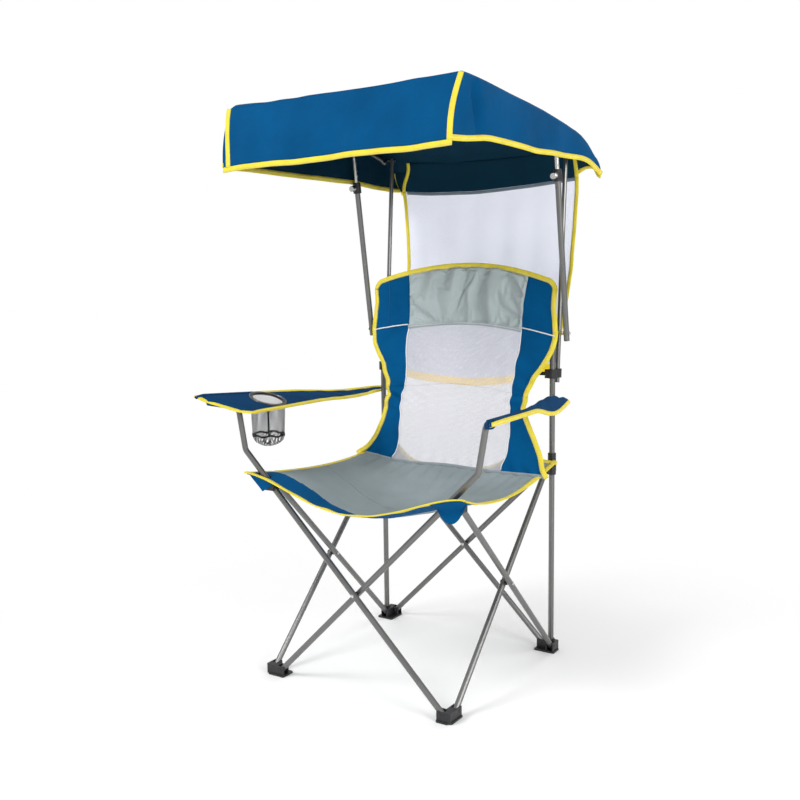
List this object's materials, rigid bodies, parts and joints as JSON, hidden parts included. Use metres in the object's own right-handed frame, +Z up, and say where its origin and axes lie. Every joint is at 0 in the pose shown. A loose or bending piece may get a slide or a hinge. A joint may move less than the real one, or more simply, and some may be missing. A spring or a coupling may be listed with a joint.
{
  "type": "canopy camping chair",
  "caption": "Folding camping chair with a scissor tube frame, hung fabric seat and back, cup holder and a tilting sun canopy with a rear mesh curtain.",
  "frame": {"origin": "middle of the object's footprint box, on the floor under the feet", "axes": "+Z up, -Y is the front the sitter faces, +X is the sitter's left"},
  "size_m": [0.8507, 0.8069, 1.44],
  "materials": {
    "plastic_black": "moulded, satin black",
    "steel_silver_grey": "powder-coated, silver grey",
    "steel_bright": "plain bright steel",
    "polyester_blue": "woven polyester, blue",
    "polyester_grey": "woven polyester, grey",
    "mesh_white": "open mesh, white",
    "mesh_dark_grey": "open mesh, dark grey"
  },
  "bodies": {
    "front_left_foot": {"foot_front_left": "plastic_black"},
    "front_right_leg": {"front_tube_right": "steel_silver_grey", "rivet_front": "steel_bright", "spacer_front": "plastic_black", "armrest_right": "polyester_blue"},
    "front_left_leg": {"front_tube_left": "steel_silver_grey", "armrest_left": "polyester_blue", "cup_ring": "plastic_black", "cup_pocket": "mesh_dark_grey"},
    "front_right_foot": {"foot_front_right": "plastic_black"},
    "left_outer_leg": {"side_tube_left_outer": "steel_silver_grey", "rivet_side_left": "steel_bright", "spacer_side_left": "plastic_black"},
    "left_inner_leg": {"side_tube_left_inner": "steel_silver_grey"},
    "rear_left_stand": {"foot_rear_left": "plastic_black", "rear_post_left": "steel_silver_grey", "collar_left": "plastic_black", "canopy_post_left": "steel_silver_grey", "strut_bolt_left": "steel_bright", "tilt_bolt_left": "steel_bright", "back_fabric": "polyester_blue", "rear_curtain": "mesh_white"},
    "back_rear_leg": {"back_tube_rear": "steel_silver_grey", "rivet_back": "steel_bright", "spacer_back": "plastic_black"},
    "back_front_leg": {"back_tube_front": "steel_silver_grey"},
    "rear_right_stand": {"foot_rear_right": "plastic_black", "rear_post_right": "steel_silver_grey", "collar_right": "plastic_black", "canopy_post_right": "steel_silver_grey", "strut_bolt_right": "steel_bright", "tilt_bolt_right": "steel_bright"},
    "right_inner_leg": {"side_tube_right_inner": "steel_silver_grey", "rivet_side_right": "steel_bright", "spacer_side_right": "plastic_black"},
    "right_outer_leg": {"side_tube_right_outer": "steel_silver_grey"},
    "left_slider": {"slider_left": "plastic_black"},
    "right_slider": {"slider_right": "plastic_black"},
    "left_corner": {"corner_bracket_left": "plastic_black", "seat_fabric": "polyester_grey", "corner_pocket_left": "polyester_blue"},
    "right_corner": {"corner_bracket_right": "plastic_black", "corner_pocket_right": "polyester_blue"},
    "left_rail": {"canopy_rail_left": "steel_silver_grey", "rail_cap_left": "plastic_black", "rail_clip_left": "plastic_black", "canopy_cover": "polyester_blue"},
    "left_strut": {"strut_tube_left": "steel_silver_grey", "strut_clip_left": "plastic_black"},
    "left_rod": {"strut_rod_left": "steel_bright"},
    "left_knob": {"clamp_knob_left": "steel_bright"},
    "left_lever": {"collar_lever_left": "plastic_black"},
    "right_rail": {"canopy_rail_right": "steel_silver_grey", "rail_cap_right": "plastic_black", "rail_clip_right": "plastic_black"},
    "right_strut": {"strut_tube_right": "steel_silver_grey", "strut_clip_right": "plastic_black"},
    "right_rod": {"strut_rod_right": "steel_bright"},
    "right_knob": {"clamp_knob_right": "steel_bright"},
    "right_lever": {"collar_lever_right": "plastic_black"}
  },
  "joints": [
    {"name": "fold", "type": "hinge", "parent": "front_left_foot", "child": "front_right_leg", "pos_m": [-0.238, -0.31, 0.0186], "axis": [0, -1, 0], "range_deg": [0, 32], "deforming": ["canopy_cover", "rear_curtain", "seat_fabric", "back_fabric", "armrest_left", "armrest_right", "corner_pocket_left", "corner_pocket_right"]},
    {"name": "front_crossing", "type": "hinge", "parent": "front_right_leg", "child": "front_left_leg", "pos_m": [0.0065, -0.319, 0.26055], "axis": [0, -1, 0], "range_deg": [-64.5, 0]},
    {"name": "front_right_foot_pivot", "type": "hinge", "parent": "front_left_leg", "child": "front_right_foot", "pos_m": [0.251, -0.328, 0.0186], "axis": [0, -1, 0], "range_deg": [0, 32.5]},
    {"name": "left_outer_foot_pivot", "type": "hinge", "parent": "front_left_foot", "child": "left_outer_leg", "pos_m": [-0.2725, -0.2935, 0.0186], "axis": [1, 0, 0], "range_deg": [0, 32.5]},
    {"name": "left_crossing", "type": "hinge", "parent": "left_outer_leg", "child": "left_inner_leg", "pos_m": [-0.2635, -0.049, 0.26055], "axis": [1, 0, 0], "range_deg": [-64.5, 0]},
    {"name": "rear_left_foot_pivot", "type": "hinge", "parent": "left_inner_leg", "child": "rear_left_stand", "pos_m": [-0.2545, 0.1955, 0.0186], "axis": [1, 0, 0], "range_deg": [0, 32.5]},
    {"name": "back_rear_foot_pivot", "type": "hinge", "parent": "rear_left_stand", "child": "back_rear_leg", "pos_m": [-0.238, 0.23, 0.0186], "axis": [0, -1, 0], "range_deg": [0, 32.5]},
    {"name": "back_crossing", "type": "hinge", "parent": "back_rear_leg", "child": "back_front_leg", "pos_m": [0.0065, 0.221, 0.26055], "axis": [0, -1, 0], "range_deg": [-64.5, 0]},
    {"name": "rear_right_foot_pivot", "type": "hinge", "parent": "back_front_leg", "child": "rear_right_stand", "pos_m": [0.251, 0.212, 0.0186], "axis": [0, -1, 0], "range_deg": [0, 32.5]},
    {"name": "right_inner_foot_pivot", "type": "hinge", "parent": "front_right_foot", "child": "right_inner_leg", "pos_m": [0.2675, -0.2935, 0.0186], "axis": [1, 0, 0], "range_deg": [0, 32.5]},
    {"name": "right_crossing", "type": "hinge", "parent": "right_inner_leg", "child": "right_outer_leg", "pos_m": [0.2765, -0.049, 0.26055], "axis": [1, 0, 0], "range_deg": [-64.5, 0]},
    {"name": "slider_left_pivot", "type": "hinge", "parent": "left_outer_leg", "child": "left_slider", "pos_m": [-0.2725, 0.1955, 0.50251], "axis": [1, 0, 0], "range_deg": [-32.5, 0]},
    {"name": "slider_right_pivot", "type": "hinge", "parent": "right_inner_leg", "child": "right_slider", "pos_m": [0.2675, 0.1955, 0.50251], "axis": [1, 0, 0], "range_deg": [-32.5, 0]},
    {"name": "corner_left_pivot", "type": "hinge", "parent": "front_left_leg", "child": "left_corner", "pos_m": [-0.238, -0.328, 0.50251], "axis": [0, -1, 0], "range_deg": [0, 32.5]},
    {"name": "corner_right_pivot", "type": "hinge", "parent": "front_right_leg", "child": "right_corner", "pos_m": [0.251, -0.31, 0.50251], "axis": [0, -1, 0], "range_deg": [-32.5, 0]},
    {"name": "canopy_tilt", "type": "hinge", "parent": "rear_left_stand", "child": "left_rail", "pos_m": [-0.3025, 0.28308, 1.35444], "axis": [-1, 0, 0], "range_deg": [-12, 12]},
    {"name": "left_strut_swing", "type": "hinge", "parent": "rear_left_stand", "child": "left_strut", "pos_m": [-0.3025, 0.215, 0.868], "axis": [-1, 0, 0], "range_deg": [-1.61, 1.61]},
    {"name": "left_rod_slide", "type": "slide", "parent": "left_strut", "child": "left_rod", "axis": [0, -0.1535, 0.9882], "range_m": [-0.03072, 0.03072]},
    {"name": "left_knob_turn", "type": "hinge", "parent": "left_strut", "child": "left_knob", "pos_m": [-0.3025, 0.15254, 1.2702], "axis": [0, -0.9882, -0.1535], "range_deg": [0, 180]},
    {"name": "left_collar_lever_swing", "type": "hinge", "parent": "rear_left_stand", "child": "left_lever", "pos_m": [-0.24945, 0.20885, 0.76], "axis": [0, 0, 1], "range_deg": [-60, 0]},
    {"name": "canopy_tilt_right", "type": "hinge", "parent": "rear_right_stand", "child": "right_rail", "pos_m": [0.3155, 0.28308, 1.35444], "axis": [-1, 0, 0], "range_deg": [-12.5, 12.5]},
    {"name": "right_strut_swing", "type": "hinge", "parent": "rear_right_stand", "child": "right_strut", "pos_m": [0.3155, 0.215, 0.868], "axis": [-1, 0, 0], "range_deg": [-1.61, 1.61]},
    {"name": "right_rod_slide", "type": "slide", "parent": "right_strut", "child": "right_rod", "axis": [0, -0.1535, 0.9882], "range_m": [-0.03072, 0.03072]},
    {"name": "right_knob_turn", "type": "hinge", "parent": "right_strut", "child": "right_knob", "pos_m": [0.3155, 0.15254, 1.2702], "axis": [0, -0.9882, -0.1535], "range_deg": [0, 180]},
    {"name": "right_collar_lever_swing", "type": "hinge", "parent": "rear_right_stand", "child": "right_lever", "pos_m": [0.26245, 0.20885, 0.76], "axis": [0, 0, -1], "range_deg": [-60, 0]}
  ],
  "couplings": [
    {"joint": "front_crossing", "follows": "fold", "ratio": -2},
    {"joint": "front_right_foot_pivot", "follows": "fold", "ratio": 1},
    {"joint": "left_outer_foot_pivot", "follows": "fold", "ratio": 1},
    {"joint": "left_crossing", "follows": "fold", "ratio": -2},
    {"joint": "rear_left_foot_pivot", "follows": "fold", "ratio": 1},
    {"joint": "back_rear_foot_pivot", "follows": "fold", "ratio": 1},
    {"joint": "back_crossing", "follows": "fold", "ratio": -2},
    {"joint": "rear_right_foot_pivot", "follows": "fold", "ratio": 1},
    {"joint": "right_inner_foot_pivot", "follows": "fold", "ratio": 1},
    {"joint": "right_crossing", "follows": "fold", "ratio": -2},
    {"joint": "slider_left_pivot", "follows": "fold", "ratio": -1},
    {"joint": "slider_right_pivot", "follows": "fold", "ratio": -1},
    {"joint": "corner_left_pivot", "follows": "fold", "ratio": 1},
    {"joint": "corner_right_pivot", "follows": "fold", "ratio": -1},
    {"joint": "left_strut_swing", "follows": "canopy_tilt", "ratio": 0.1091},
    {"joint": "left_rod_slide", "follows": "canopy_tilt", "m_per_rad": 0.1419},
    {"joint": "canopy_tilt_right", "follows": "canopy_tilt", "ratio": 1},
    {"joint": "right_strut_swing", "follows": "canopy_tilt", "ratio": 0.1091},
    {"joint": "right_rod_slide", "follows": "canopy_tilt", "m_per_rad": 0.1419}
  ]
}
